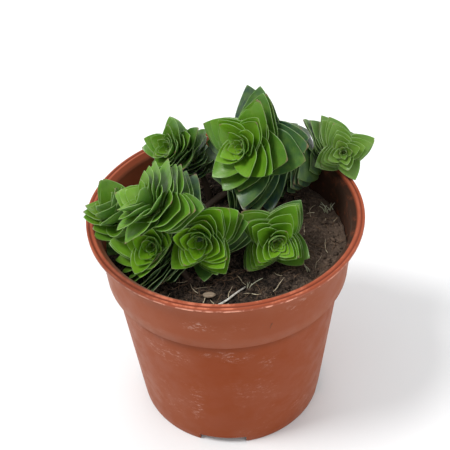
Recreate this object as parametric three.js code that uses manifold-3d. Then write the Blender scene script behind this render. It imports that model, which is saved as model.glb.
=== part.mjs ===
// A crassula of the estagnol kind in a plastic nursery pot, in millimetres, +Z up.
// The pot stands on z = 0. Eight leafy stems grow out of the soil, each a crowded stack of
// thin pointed leaves in opposite pairs, every pair turned against the last one.
// Places are measured from the pot's axis: -Y is the front, +X the right. The whole group is
// moved at the end, so that the middle of its box stands over the origin.
import * as THREE from "three";
import { mergeVertices } from "three/addons/utils/BufferGeometryUtils.js";
import Module from "manifold-3d";

const wasm = await Module();
wasm.setup();

const RAD = Math.PI / 180;
const UP = new THREE.Vector3(0, 0, 1);
const GAP = 0.3; // clearance between pieces that touch

// The pot: an injection-moulded nursery pot, 10.5 cm across its rim
const POT = {
  sides: 36,
  height: 94,
  rimRadius: 52.5,
  rimInner: 49.8,
  rimThick: 1.8,
  wall: 1.0,
  bandTop: 48.7,
  bandFoot: 47.5,
  shoulder: 68.3,
  bodyTop: 45.1,
  foot: 38.6,
  footRound: 0.6,
  ring: 2.0,
  floorUnder: 4.4,
  floor: 1.4,
  notches: 4,
  notchWidth: 19,
  notchHeight: 3.6,
  firstNotch: -97,
  drains: 6,
  drainRadius: 3.2,
  drainCircle: 27,
};

// The soil: crumbly, and a little higher in the middle than at the wall
const SOIL = { level: 78.5, mound: 1.6, relief: 0.8, ringStep: 12 };

// The stems: each stands in a plain hole in the soil
const STEM = { radius: 1.6, tipRadius: 0.4, taper: 5, sides: 5, steps: 8, holeDepth: 9, bareAbove: 2.5 };

// Litter on the soil: where a dry straw lies, and where a wood chip lies and its half sizes
const STRAW = { from: [-5.5, -38.2], to: [6.6, -27.8], radius: 0.5, sides: 6, steps: 4 };
const CHIP = { at: [-7, -32.5], half: [2.6, 1.4, 0.7], turn: 12 };

// A leaf: stations from base to tip, with half its width there as a share of its length.
// Every leaf lies on a cone round its stem, so that the pairs nest and never cross. Young
// leaves are curled in and broad: youngCurl, in degrees, and youngBroad, as a share, hold in
// the heart, and they fade over curlPairs and broadPairs.
const LEAF = {
  stations: [0, 0.35, 0.72, 1],
  halfWidths: [0.29, 0.4, 0.24, 0],
  thick: 0.6,
  rootRadius: 1,
  firstOpen: 8,
  firstGrown: 0.6,
  droop: 1.5,
  droopAfter: 4,
  mostWrap: 1.4,
  flatAt: 0.6,
  youngCurl: 34,
  curlPairs: 2,
  youngBroad: 0.4,
  broadPairs: 2.5,
};

// The heart's pairs sit closer: the first gap is this share of a grown one
const FIRST_GAP = { share: 0.25, pairs: 2 };

// Where a leaf would touch what is already there it has grown shorter and has bent clear:
// each try is a share of its length and the degrees that it is lifted towards its stem by
// (or, below zero, lowered).
const TRIES = [
  [1, 0],
  [1, 8],
  [1, -8],
  [0.85, 0],
  [0.85, 12],
  [0.85, -10],
  [0.7, 0],
  [0.7, 16],
  [0.7, -12],
  [0.55, 0],
  [0.55, 22],
  [0.55, -14],
  [0.42, 30],
  [0.42, 0],
];

// Each shoot: its growing tip, which way the tip faces (degrees from the front towards the
// right, and up), where its stem leaves the soil, and how far the stem keeps straight at
// either end. phase turns the first pair and turn is the angle from pair to pair; leaf is
// the length of a grown leaf; young and opening say how many pairs it takes to grow and to
// open out; open is the angle to the stem then; bend is how far a leaf curls out, in degrees.
const SHOOTS = {
  shoot_left: {
    tip: [-25.7, -19.4, 113], faces: [-97, 47], root: [-8, 5], straight: [0.35, 0.5],
    phase: 52, turn: 91.2, leaf: 19.5, gap: 1.7, young: 2, opening: 2.7, open: 84, bend: 9, pairs: 13,
  },
  shoot_low_left: {
    tip: [-26.6, -18.6, 93.4], faces: [-11, 33], root: [-10, -27], straight: [0.35, 0.3],
    phase: 144, turn: 103.2, leaf: 17.7, gap: 1.34, young: 1.7, opening: 3.6, open: 85, bend: -7, pairs: 12,
  },
  shoot_far_left: {
    tip: [-38.3, -5.7, 98.9], faces: [-112, 42], root: [-37.2, 18.4], straight: [0.35, 0.29],
    phase: 0, turn: 95.7, leaf: 18.6, gap: 2.14, young: 1.5, opening: 2.9, open: 66, bend: -8, pairs: 9,
  },
  shoot_centre: {
    tip: [7.9, 14.1, 112.1], faces: [-46, 28], root: [14.7, 33], straight: [0.35, 0.74],
    phase: 130, turn: 97.3, leaf: 26, gap: 1.49, young: 4.2, opening: 1.8, open: 66, bend: -8, pairs: 13,
  },
  shoot_front: {
    tip: [17.9, -16.6, 91.5], faces: [9, 20], root: [20.3, 0.3], straight: [0.35, 0.26],
    phase: 138, turn: 90.2, leaf: 18.9, gap: 2.23, young: 3.1, opening: 5, open: 75, bend: 4, pairs: 9,
  },
  shoot_middle: {
    tip: [-9.1, -20.6, 97.5], faces: [-10, 27], root: [1, -13], straight: [0.35, 0.6],
    phase: 180, turn: 81, leaf: 18.1, gap: 2.28, young: 1.5, opening: 3.8, open: 76, bend: -9, pairs: 11,
  },
  shoot_right: {
    tip: [46.9, 19.2, 103.9], faces: [-18, 29], root: [-11.9, 17.6], straight: [0.35, 0.44],
    phase: 114, turn: 91.5, leaf: 19.8, gap: 2.48, young: 4.5, opening: 1.8, open: 98, bend: 20, pairs: 19,
  },
  shoot_back: {
    tip: [-19.1, 25.3, 104.5], faces: [-51, 34], root: [-5.5, 22.5], straight: [0.35, 0.45],
    phase: 147, turn: 102.8, leaf: 17.2, gap: 1.58, young: 2.6, opening: 4, open: 65, bend: 12, pairs: 9,
  },
};

// A closed mesh as a solid that can be cut and joined
function solid(geometry) {
  const bare = new THREE.BufferGeometry().setAttribute("position", geometry.getAttribute("position"));
  if (geometry.index) bare.setIndex(geometry.index);
  const merged = mergeVertices(bare, 1e-4);
  return new wasm.Manifold(
    new wasm.Mesh({
      numProp: 3,
      vertProperties: Float32Array.from(merged.getAttribute("position").array),
      triVerts: Uint32Array.from(merged.index.array),
    }),
  );
}

// A solid as a geometry again
function geometryOf(body) {
  const mesh = body.getMesh();
  const geometry = new THREE.BufferGeometry();
  geometry.setAttribute("position", new THREE.BufferAttribute(Float32Array.from(mesh.vertProperties), 3));
  geometry.setIndex(new THREE.BufferAttribute(Uint32Array.from(mesh.triVerts), 1));
  geometry.computeVertexNormals();
  return geometry;
}

// A body of revolution about Z, from [radius, height] points
function turned(profile, sides) {
  const points = profile.map(([radius, height]) => new THREE.Vector2(radius, height));
  return new THREE.LatheGeometry(points, sides).rotateX(Math.PI / 2);
}

const innerWall = (z) => {
  const outer = POT.foot + ((POT.bodyTop - POT.foot) * z) / POT.shoulder;
  return outer - POT.wall;
};

function makePot() {
  const { height: top, rimThick, wall, ring, foot, footRound, floorUnder, floor, shoulder } = POT;
  const underRim = top - rimThick;
  const inside = floorUnder + floor;
  let body = solid(
    turned(
      [
        [0, floorUnder],
        [foot - ring, floorUnder],
        [foot - ring, 0],
        [foot - footRound, 0],
        [foot, footRound],
        [POT.bodyTop, shoulder],
        [POT.bandFoot, shoulder],
        [POT.bandTop, underRim],
        [POT.rimRadius, underRim],
        [POT.rimRadius, top - 0.4],
        [POT.rimRadius - 0.4, top],
        [POT.rimInner, top],
        [POT.bandTop - wall, underRim - 0.6],
        [POT.bandFoot - wall, shoulder + wall + 0.6],
        [innerWall(shoulder), shoulder + wall],
        [innerWall(inside), inside],
        [0, inside],
      ],
      POT.sides,
    ),
  );
  for (let i = 0; i < POT.notches; i++) {
    const cut = new THREE.BoxGeometry(4 * ring + 4, POT.notchWidth, 2 * POT.notchHeight);
    cut.translate(foot - ring, 0, 0).rotateZ((POT.firstNotch + (360 / POT.notches) * i) * RAD);
    body = body.subtract(solid(cut));
  }
  for (let i = 0; i < POT.drains; i++) {
    const angle = ((i + 0.5) / POT.drains) * 2 * Math.PI;
    const drain = new THREE.CylinderGeometry(POT.drainRadius, POT.drainRadius, 4 * floor, 8).rotateX(Math.PI / 2);
    drain.translate(POT.drainCircle * Math.cos(angle), POT.drainCircle * Math.sin(angle), floorUnder + floor / 2);
    body = body.subtract(solid(drain));
  }
  return body;
}

// The soil's surface: a low mound with lumps that fade out at the wall
function soilHeight(x, y) {
  const share = Math.min(1, Math.hypot(x, y) / POT.bandFoot);
  const lumps = Math.sin(0.31 * x + 0.8) * Math.cos(0.27 * y) + 0.7 * Math.sin(0.53 * y - 0.36 * x + 2);
  return SOIL.level + SOIL.mound * (1 - share * share) + SOIL.relief * lumps * (1 - share ** 4);
}

function makeSoil() {
  const inside = POT.floorUnder + POT.floor + GAP;
  const step = POT.shoulder + POT.wall;
  const slope = (POT.bandTop - POT.bandFoot) / (POT.height - POT.rimThick - step);
  const rim = POT.bandFoot - POT.wall - GAP + slope * (SOIL.level - step);
  const profile = [
    [0, inside],
    [innerWall(inside) - GAP, inside],
    [innerWall(step) - GAP, step + GAP],
    [POT.bandFoot - POT.wall - GAP, step + 3 * GAP],
    [rim, SOIL.level],
  ];
  for (let radius = rim - SOIL.ringStep; radius > SOIL.ringStep / 2; radius -= SOIL.ringStep) {
    profile.push([radius, SOIL.level]);
  }
  profile.push([0, SOIL.level]);
  const ground = turned(profile, POT.sides);
  const place = ground.getAttribute("position");
  for (let i = 0; i < place.count; i++) {
    if (place.getZ(i) > SOIL.level - 0.01) place.setZ(i, soilHeight(place.getX(i), place.getY(i)));
  }
  return solid(ground);
}

// Where a shoot's stem runs, from the bottom of its hole up to its growing tip
function stemCurve(shoot) {
  const [turn, rise] = shoot.faces.map((angle) => angle * RAD);
  const axis = new THREE.Vector3(Math.sin(turn) * Math.cos(rise), -Math.cos(turn) * Math.cos(rise), Math.sin(rise));
  const tip = new THREE.Vector3(...shoot.tip);
  const root = new THREE.Vector3(...shoot.root, SOIL.level - STEM.holeDepth);
  const span = tip.distanceTo(root);
  return new THREE.CubicBezierCurve3(
    root,
    root.clone().addScaledVector(UP, span * shoot.straight[0]),
    tip.clone().addScaledVector(axis, -span * shoot.straight[1]),
    tip,
  );
}

// Frames down the stem from the tip: place, direction of growth and a sideways direction
// that is carried along without twisting
function stemFrames(curve, count = 80) {
  const frames = [];
  let side = null;
  let run = 0;
  for (let i = 0; i <= count; i++) {
    const at = curve.getPoint(1 - i / count);
    const along = curve.getTangent(1 - i / count);
    if (i > 0) run += at.distanceTo(frames[i - 1].at);
    side = (side ?? (Math.abs(along.z) < 0.97 ? UP : new THREE.Vector3(0, 1, 0))).clone();
    side.addScaledVector(along, -side.dot(along)).normalize();
    frames.push({ at, along, side, run });
  }
  return frames;
}

function frameAt(frames, run) {
  const next = Math.max(1, frames.findIndex((frame) => frame.run >= run));
  const [a, b] = [frames[next - 1], frames[next]];
  const share = (run - a.run) / (b.run - a.run);
  const along = a.along.clone().lerp(b.along, share).normalize();
  const side = a.side.clone().lerp(b.side, share);
  side.addScaledVector(along, -side.dot(along)).normalize();
  return { at: a.at.clone().lerp(b.at, share), along, side };
}

// The leaves of a shoot, youngest first: pair by pair down the stem to where it is bare
function leafPlan(shoot, frames) {
  const plan = [];
  const stemLength = frames.at(-1).run;
  let run = 0;
  for (let pair = 0; pair < shoot.pairs && run < stemLength; pair++) {
    const frame = frameAt(frames, run);
    if (frame.at.z < soilHeight(frame.at.x, frame.at.y) + STEM.bareAbove) break;
    const grown = 1 - Math.exp(-(pair + LEAF.firstGrown) / shoot.young);
    const opened = 1 - Math.exp(-pair / shoot.opening);
    const drooped = LEAF.droop * Math.max(0, pair - LEAF.droopAfter);
    const leaf = {
      frame,
      length: shoot.leaf * grown,
      open: LEAF.firstOpen + (shoot.open - LEAF.firstOpen) * opened + drooped,
      bend: shoot.bend - LEAF.youngCurl * Math.exp(-pair / LEAF.curlPairs),
      broad: 1 + LEAF.youngBroad * Math.exp(-pair / LEAF.broadPairs),
    };
    const angles = [0, 180].map((half) => (shoot.phase + pair * shoot.turn + half) * RAD);
    if (pair > 0) plan.push(angles.map((angle) => ({ ...leaf, angle })));
    run += shoot.gap * (1 - (1 - FIRST_GAP.share) * Math.exp(-pair / FIRST_GAP.pairs));
  }
  return plan;
}

// Rows of points down a leaf, base to tip: three across a row and one at the tip, each an
// upper and a lower point. spare is added all round to test how near its neighbours are.
function leafRows({ frame, angle, length, open, bend, broad }, share, lift, spare = 0) {
  const { at, along, side } = frame;
  const across = new THREE.Vector3().crossVectors(along, side);
  const out = side.clone().multiplyScalar(Math.cos(angle)).addScaledVector(across, Math.sin(angle));
  const sideways = new THREE.Vector3().crossVectors(along, out);
  const long = length * share;
  const arc = bend * RAD;
  const start = (open - lift) * RAD - LEAF.flatAt * arc;
  return LEAF.stations.map((u, k) => {
    const isTip = k === LEAF.stations.length - 1;
    const turn = start + arc * u;
    const extra = isTip ? spare : 0;
    const reach = LEAF.rootRadius + (long * (Math.cos(start) - Math.cos(turn))) / arc + extra * Math.sin(turn);
    const height = (long * (Math.sin(turn) - Math.sin(start))) / arc + extra * Math.cos(turn);
    const half = LEAF.halfWidths[k] * length * broad * Math.sqrt(share) + spare;
    const flatness = Math.sin(turn) ** 2;
    return (isTip ? [0] : [-1, 0, 1]).map((rim) => {
      const wide = rim * half;
      const away = Math.hypot(reach, wide) - reach;
      const wrap = Math.max(-LEAF.mostWrap, Math.min(LEAF.mostWrap, wide / reach));
      const swing = wrap + (Math.atan2(wide, reach) - wrap) * flatness;
      const spoke = out.clone().multiplyScalar(Math.cos(swing)).addScaledVector(sideways, Math.sin(swing));
      const face = along.clone().multiplyScalar(Math.sin(turn)).addScaledVector(spoke, -Math.cos(turn));
      const point = at
        .clone()
        .addScaledVector(along, height + away * Math.sin(turn) * Math.cos(turn))
        .addScaledVector(spoke, reach + away * flatness);
      const thick = LEAF.thick / 2 + spare;
      return [point.clone().addScaledVector(face, thick), point.addScaledVector(face, -thick)];
    });
  });
}

// The closed skin over a list of rows, with the upper side up and the first row's middle
// point to the left of its last when seen along the rows
function skin(rows) {
  const points = rows.flat(2);
  const faces = [];
  const quad = (a, b, c, d) => faces.push([a, c, b], [a, d, c]);
  let near = 0;
  for (let i = 0; i + 1 < rows.length; i++) {
    const [columns, next] = [rows[i].length, rows[i + 1].length];
    const far = near + 2 * columns;
    if (columns === next) {
      for (const step of [0, 2]) {
        quad(near + step, near + step + 2, far + step + 2, far + step);
        quad(far + step + 1, far + step + 3, near + step + 3, near + step + 1);
      }
    } else {
      const [row, tip, flip] = columns > next ? [near, far, 0] : [far, near, 1];
      for (const step of [0, 2]) {
        const upper = [row + step, row + step + 2, tip];
        const lower = [tip + 1, row + step + 3, row + step + 1];
        faces.push(flip ? upper : upper.reverse(), flip ? lower : lower.reverse());
      }
    }
    const [right, farRight] = [near + 2 * columns - 2, far + 2 * next - 2];
    quad(near, far, far + 1, near + 1);
    quad(right, right + 1, farRight + 1, farRight);
    near = far;
  }
  const last = rows.at(-1).length;
  if (rows[0].length > 1) [0, 2].forEach((step) => quad(step, step + 1, step + 3, step + 2));
  if (last > 1) [0, 2].forEach((step) => quad(near + step, near + step + 2, near + step + 3, near + step + 1));
  const geometry = new THREE.BufferGeometry().setFromPoints(points);
  geometry.setIndex(faces.flat());
  return geometry;
}

// Two opposite leaves as one blade through the stem
const pairRows = (one, other) => [...one].reverse().map((row) => [...row].reverse()).concat(other);

// A stem as a tube along its curve, drawn in to a point over its last stretch
function stemTube(curve, radius, tipRadius = radius) {
  const ring = new THREE.Shape(
    Array.from({ length: STEM.sides }, (_, i) => {
      const angle = (i / STEM.sides) * 2 * Math.PI;
      return new THREE.Vector2(radius * Math.cos(angle), radius * Math.sin(angle));
    }),
  );
  const tube = new THREE.ExtrudeGeometry(ring, { extrudePath: curve, steps: STEM.steps, bevelEnabled: false });
  const tip = curve.getPoint(1);
  const along = curve.getTangent(1);
  const place = tube.getAttribute("position");
  for (let i = 0; i < place.count; i++) {
    const point = new THREE.Vector3().fromBufferAttribute(place, i);
    const below = tip.clone().sub(point).dot(along);
    if (point.distanceTo(tip) > STEM.taper || below > STEM.taper / 2) continue;
    const centre = tip.clone().addScaledVector(along, -below);
    point.sub(centre).multiplyScalar(tipRadius / radius).add(centre);
    place.setXYZ(i, point.x, point.y, point.z);
  }
  return tube;
}

// The soil with the plain hole that a stem stands in
function drilled(ground, curve) {
  const radius = STEM.radius + GAP;
  const { x, y, z } = curve.getPoint(0);
  const bottom = new THREE.CylinderGeometry(radius, radius, 2 * GAP, STEM.sides).rotateX(Math.PI / 2);
  return ground.subtract(solid(stemTube(curve, radius))).subtract(solid(bottom.translate(x, y, z)));
}

const boxesMeet = (a, b) => {
  const [p, q] = [a.boundingBox(), b.boundingBox()];
  return [0, 1, 2].every((k) => p.min[k] < q.max[k] && q.min[k] < p.max[k]);
};

const meets = (a, b) => boxesMeet(a, b) && !a.intersect(b).isEmpty();

// All the shoots: stems first, then pair after pair of leaves on every shoot in turn, each
// grown clear of the other shoots, of the pot and of the soil
function makeShoots(pot, ground) {
  const grown = Object.entries(SHOOTS).map(([name, shoot]) => {
    const curve = stemCurve(shoot);
    const stem = solid(stemTube(curve, STEM.radius, STEM.tipRadius));
    return { name, curve, plan: leafPlan(shoot, stemFrames(curve)), parts: [stem] };
  });
  const mostPairs = Math.max(...grown.map(({ plan }) => plan.length));
  for (let pair = 0; pair < mostPairs; pair++) {
    for (const one of grown.filter(({ plan }) => pair < plan.length)) {
      const others = grown.filter((other) => other !== one).flatMap((other) => other.parts);
      const around = [pot, ground, ...others];
      const blades = one.plan[pair].flatMap((leaf) => {
        const fits = TRIES.find(([share, lift]) => {
          const roomy = solid(skin(leafRows(leaf, share, lift, GAP)));
          return !around.some((other) => meets(roomy, other));
        });
        return fits ? [leafRows(leaf, ...fits)] : [];
      });
      if (blades.length) one.parts.push(solid(skin(blades.length > 1 ? pairRows(...blades) : blades[0])));
    }
  }
  return grown;
}

// The parts of a shoot as one body: a hollow that they seal is filled, and a scrap that
// hangs on none of the others is dropped
function fused(parts) {
  const bodies = parts.reduce((body, part) => body.add(part)).decompose();
  return bodies.reduce((most, body) => (body.volume() > most.volume() ? body : most));
}

// The highest that the soil reaches near a point
function groundUnder(x, y, around) {
  const steps = [-1, -0.5, 0, 0.5, 1].map((step) => step * around);
  return Math.max(...steps.flatMap((dx) => steps.map((dy) => soilHeight(x + dx, y + dy))));
}

// A dry straw that lies on the soil
function makeStraw() {
  const [from, to] = [new THREE.Vector2(...STRAW.from), new THREE.Vector2(...STRAW.to)];
  const over = (share) => {
    const { x, y } = from.clone().lerp(to, share);
    return new THREE.Vector3(x, y, groundUnder(x, y, 2) + STRAW.radius + GAP);
  };
  const ring = new THREE.Shape(
    Array.from({ length: STRAW.sides }, (_, i) => {
      const angle = (i / STRAW.sides) * 2 * Math.PI;
      return new THREE.Vector2(STRAW.radius * Math.cos(angle), STRAW.radius * Math.sin(angle));
    }),
  );
  const path = new THREE.CatmullRomCurve3([over(0), over(0.5), over(1)]);
  return solid(new THREE.ExtrudeGeometry(ring, { extrudePath: path, steps: STRAW.steps, bevelEnabled: false }));
}

// A flat wood chip that lies on the soil
function makeChip() {
  const [x, y] = CHIP.at;
  const chip = new THREE.SphereGeometry(1, 10, 6).scale(...CHIP.half).rotateZ(CHIP.turn * RAD);
  return solid(chip.translate(x, y, groundUnder(x, y, CHIP.half[0]) + CHIP.half[2] + GAP));
}

const looks = {
  pot: { color: 0xb5563a, roughness: 0.55 },
  soil: { color: 0x3a2c24, roughness: 0.95 },
  shoot: { color: 0x4f8a2b, roughness: 0.4 },
  litter: { color: 0xb9b0a0, roughness: 0.8 },
};

function named(name, body, look) {
  const mesh = new THREE.Mesh(geometryOf(body), new THREE.MeshStandardMaterial({ ...look, metalness: 0 }));
  mesh.name = name;
  return mesh;
}

const pot = makePot();
const ground = makeSoil();
const shoots = makeShoots(pot, ground);
const soil = shoots.reduce((body, { curve }) => drilled(body, curve), ground);

const plant = new THREE.Group();
plant.add(named("pot", pot, looks.pot), named("soil", soil, looks.soil));
for (const { name, parts } of shoots) {
  plant.add(named(name, fused(parts), looks.shoot));
}
plant.add(named("straw", makeStraw(), looks.litter), named("chip", makeChip(), looks.litter));
const middle = new THREE.Box3().setFromObject(plant).getCenter(new THREE.Vector3());
plant.position.set(-middle.x, -middle.y, 0);

export default plant;
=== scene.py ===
"""A potted crassula of the estagnol kind: fine leaves, a moulded pot and peaty soil round the CAD frame."""

import math
from functools import partial
from types import SimpleNamespace

import bpy
import numpy as np
from mathutils import Matrix, Vector, noise
from mathutils.kdtree import KDTree


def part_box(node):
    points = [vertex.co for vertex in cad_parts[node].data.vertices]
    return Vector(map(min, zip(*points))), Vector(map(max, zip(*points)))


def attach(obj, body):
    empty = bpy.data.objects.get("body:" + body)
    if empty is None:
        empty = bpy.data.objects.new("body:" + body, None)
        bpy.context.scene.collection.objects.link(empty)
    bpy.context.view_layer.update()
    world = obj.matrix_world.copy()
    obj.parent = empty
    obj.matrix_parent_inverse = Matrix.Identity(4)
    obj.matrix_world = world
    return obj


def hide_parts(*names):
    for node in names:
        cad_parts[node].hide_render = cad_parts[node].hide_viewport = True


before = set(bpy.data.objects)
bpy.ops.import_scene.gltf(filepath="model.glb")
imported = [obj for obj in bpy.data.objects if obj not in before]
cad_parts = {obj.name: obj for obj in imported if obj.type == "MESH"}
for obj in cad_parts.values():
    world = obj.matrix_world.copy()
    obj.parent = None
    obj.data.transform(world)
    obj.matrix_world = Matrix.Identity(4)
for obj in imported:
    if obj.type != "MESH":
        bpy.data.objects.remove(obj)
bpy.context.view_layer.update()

# Lengths are in mm and places are measured from the foot of the pot's axis, unless said otherwise
MM = 0.001
POT_LOW, POT_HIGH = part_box("pot")
AXIS = np.array([(POT_LOW.x + POT_HIGH.x) / 2, (POT_LOW.y + POT_HIGH.y) / 2, 0]) / MM
FULL_TURN = 2 * math.pi

# The camera, with its turns in degrees
CAMERA = SimpleNamespace(
    target=(0, 0, 60),
    distance=354.76,
    elevation=43.95,
    yaw=-0.04,
    pitch=3.17,
    roll=-2.43,
    lens=70.27,
    sensor=36,
)

# The pot and the soil, as in the CAD model
POT = SimpleNamespace(
    height=94,
    rim=52.5,
    rim_inner=49.8,
    rim_thick=1.8,
    wall=1.0,
    band_top=48.7,
    band_foot=47.5,
    shoulder=68.3,
    body_top=45.1,
    foot=38.6,
    ring=2.0,
    floor_under=4.4,
    floor=1.4,
    notches=4,
    first_notch=-97,
    notch_wide=19,
    notch_high=3.6,
    drains=6,
    drain=3.2,
    drain_circle=27,
    sides=192,
)
UNDER_LIP = POT.height - POT.rim_thick
SLOPE = (POT.body_top - POT.foot) / POT.shoulder
SOIL = SimpleNamespace(level=78.5, mound=1.6, relief=0.8, edge=46.5, bottom=6.1, rings=66, sides=220)

# Where the pot is scuffed: the middle of each patch, its reach each way and its strength
SCUFFS = (
    ((-12, -46.5, 80), (9, 6, 3.5), 0.75),
    ((-24, -37, 55), (13, 12, 6), 0.6),
    ((-2, -44.5, 60), (15, 8, 5), 0.5),
    ((-14.3, -39.2, 26), (4, 6, 17), 0.4),
    ((26, -40.5, 84), (12, 12, 5), 0.35),
    ((14, -41, 53), (6, 7, 8), 0.3),
)
LIP_SHADE_PATCH = (-37, -36, 92), (24, 20, 6), 0.5  # where the lip's front left is darkened as painted shade, given the same way

# How a leaf is laid out in the CAD model: its stations from base to tip, with half its width
# there as a share of its length. It lies on a cone round the stem. Young leaves are curled in
# and broad, which fades over curl_pairs and broad_pairs. Angles are in degrees.
LEAF = SimpleNamespace(
    stations=(0, 0.35, 0.72, 1),
    half_widths=(0.29, 0.4, 0.24, 0),
    thick=0.6,
    root_radius=1,
    first_open=8,
    first_grown=0.6,
    droop=1.5,
    droop_after=4,
    most_wrap=1.4,
    flat_at=0.6,
    young_curl=34,
    curl_pairs=2,
    young_broad=0.4,
    broad_pairs=2.5,
)

# The heart's pairs sit closer: the first gap is this share of a grown one, and the gaps grow
# over about so many pairs
FIRST_GAP = SimpleNamespace(share=0.25, pairs=2)

# The forms that a leaf may take in the CAD model, to clear what is already there: the share
# of its length, and the degrees that it is lifted towards its stem by
TRIES = (
    (1, 0),
    (1, 8),
    (1, -8),
    (0.85, 0),
    (0.85, 12),
    (0.85, -10),
    (0.7, 0),
    (0.7, 16),
    (0.7, -12),
    (0.55, 0),
    (0.55, 22),
    (0.55, -14),
    (0.42, 30),
    (0.42, 0),
)
SAME_PLACE = 0.02  # a corner this near to one of the CAD model is the same corner
SUNK_CORNERS = 6  # the first corners of a leaf may be lost inside its shoot
LEAST_FOUND = 2  # a leaf with fewer corners found was shed

STEM = SimpleNamespace(
    steps=80,
    hole_depth=9,
    bare_above=2.5,  # no leaves grow nearer to the soil than this
    radius=1.6,
    taper=0.5,  # how much thinner it is at its tip
    ring_swell=0.06,  # how far the rings of dropped leaves stand out, as a share of its radius
    ring_turn=60,  # how fast they follow each other: radians from root to tip
    point=0.25,  # the share of its radius that it ends with
    sharpness=14,  # how fast it narrows to that
    sides=14,
)

# What is finer here than in the CAD model
HALVES = (0, 180)  # the two leaves of a pair, in degrees
FINER = 3  # pairs of leaves here for each pair of the CAD model
HEART = 5  # the first so many of them are all there
OLD_SHARE = 0.62  # the length of the old leaves under those of the CAD model
AGED_PAIRS = 12  # a leaf is as old as it gets after so many pairs
FINE_LEAF = SimpleNamespace(
    stations=(0, 0.06, 0.13, 0.21, 0.3, 0.4, 0.5, 0.6, 0.69, 0.78, 0.86, 0.92, 0.965, 1),
    columns=(-1, -0.94, -0.82, -0.6, -0.3, 0, 0.3, 0.6, 0.82, 0.94, 1),
    tilt=2.6,  # how much a leaf leans by chance, in degrees
    twist=0.065,  # how much it turns round its stem by chance, in radians
    size=(0.96, 0.06),  # its length as a share of the CAD model's: the mean and the spread
    most_size=1.05,
    cup=0.1,  # how far its rims rise, as a share of half its width: a young leaf's rise more
    ripple=0.08,  # how far they wave, as a share of the same
    ripples=1.4,  # how many waves there are
    thick=0.3,  # half its thickness
    young_thin=0.08,  # how much less a young leaf has
    rim_thin=0.6,  # the share of it that the rim lacks
    tip_thin=0.35,  # the share of it that the tip lacks
    point=0.3,  # what the very tip keeps of the rest
)

# The shoots as in the CAD model: the tip, which way it faces (degrees from the front towards
# the right, and up), where it roots, and how far it keeps straight at its root and its tip, as
# shares of the span between them. Its first pair stands at phase, and each next one is turned
# on by turn. A grown leaf is leaf long, opens to open and bends by bend, and grown pairs are a
# gap apart. Leaves grow over about young pairs and open over about opening pairs. grey is how
# grey the leaves are, or below zero how fresh. full is the share of the in-between pairs that
# the shoot has, and old is its number of old pairs below the CAD model's.
SHOOTS = {
    "shoot_left": SimpleNamespace(
        tip=(-25.7, -19.4, 113), faces=(-97, 47), root=(-8, 5), straight=(0.35, 0.5),
        phase=52, turn=91.2, leaf=19.5, gap=1.7, young=2, opening=2.7, open=84, bend=9, pairs=13,
        grey=-0.25, full=0.7, old=4,
    ),
    "shoot_low_left": SimpleNamespace(
        tip=(-26.6, -18.6, 93.4), faces=(-11, 33), root=(-10, -27), straight=(0.35, 0.3),
        phase=144, turn=103.2, leaf=17.7, gap=1.34, young=1.7, opening=3.6, open=85, bend=-7, pairs=12,
        grey=-0.5, full=0.6, old=2,
    ),
    "shoot_far_left": SimpleNamespace(
        tip=(-38.3, -5.7, 98.9), faces=(-112, 42), root=(-37.2, 18.4), straight=(0.35, 0.29),
        phase=0, turn=95.7, leaf=18.6, gap=2.14, young=1.5, opening=2.9, open=66, bend=-8, pairs=9,
        grey=0.15, full=0.75, old=3,
    ),
    "shoot_centre": SimpleNamespace(
        tip=(7.9, 14.1, 112.1), faces=(-46, 28), root=(14.7, 33), straight=(0.35, 0.74),
        phase=130, turn=97.3, leaf=26, gap=1.49, young=4.2, opening=1.8, open=66, bend=-8, pairs=13,
        grey=-0.4, full=0.35, old=6,
    ),
    "shoot_front": SimpleNamespace(
        tip=(17.9, -16.6, 91.5), faces=(9, 20), root=(20.3, 0.3), straight=(0.35, 0.26),
        phase=138, turn=90.2, leaf=18.9, gap=2.23, young=3.1, opening=5, open=75, bend=4, pairs=9,
        grey=-0.35, full=0.85, old=1,
    ),
    "shoot_middle": SimpleNamespace(
        tip=(-9.1, -20.6, 97.5), faces=(-10, 27), root=(1, -13), straight=(0.35, 0.6),
        phase=180, turn=81, leaf=18.1, gap=2.28, young=1.5, opening=3.8, open=76, bend=-9, pairs=11,
        grey=-0.6, full=0.6, old=4,
    ),
    "shoot_right": SimpleNamespace(
        tip=(46.9, 19.2, 103.9), faces=(-18, 29), root=(-11.9, 17.6), straight=(0.35, 0.44),
        phase=114, turn=91.5, leaf=19.8, gap=2.48, young=4.5, opening=1.8, open=98, bend=20, pairs=19,
        grey=0.45, full=0.8, old=6,
    ),
    "shoot_back": SimpleNamespace(
        tip=(-19.1, 25.3, 104.5), faces=(-51, 34), root=(-5.5, 22.5), straight=(0.35, 0.45),
        phase=147, turn=102.8, leaf=17.2, gap=1.58, young=2.6, opening=4, open=65, bend=12, pairs=9,
        grey=0.05, full=0.4, old=6,
    ),
}

# The seedlings: where each little tuft stands on the soil, and how many there are in it
SEEDLINGS = ((7.2, -29.2, 4), (40.5, 13, 6), (42, 15.5, 5), (30, -20, 3))

# The studio: each light's strength, where it shines from and how wide it is, in degrees
LIGHTS = {
    "key": (2.0, (-0.52, -0.126, 0.845), 18),
    "fill": (0.75, (0.85, -0.35, 0.3), 70),
    "back": (0.7, (0.1, 0.8, 0.6), 50),
}
WORLD_STRENGTH = 0.74


def seeded(name):
    """A random source of its own for each piece, the same in every run"""
    return np.random.default_rng(sum(ord(letter) * (i + 1) for i, letter in enumerate(name)))


def linear(hex_colour):
    """An sRGB colour such as b5563a as the linear values that Blender works in"""
    parts = [int(hex_colour[i : i + 2], 16) / 255 for i in (0, 2, 4)]
    return [part / 12.92 if part <= 0.04045 else ((part + 0.055) / 1.055) ** 2.4 for part in parts] + [1]


def unit(vector):
    """A vector of length 1 the same way"""
    return vector / np.linalg.norm(vector)


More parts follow.
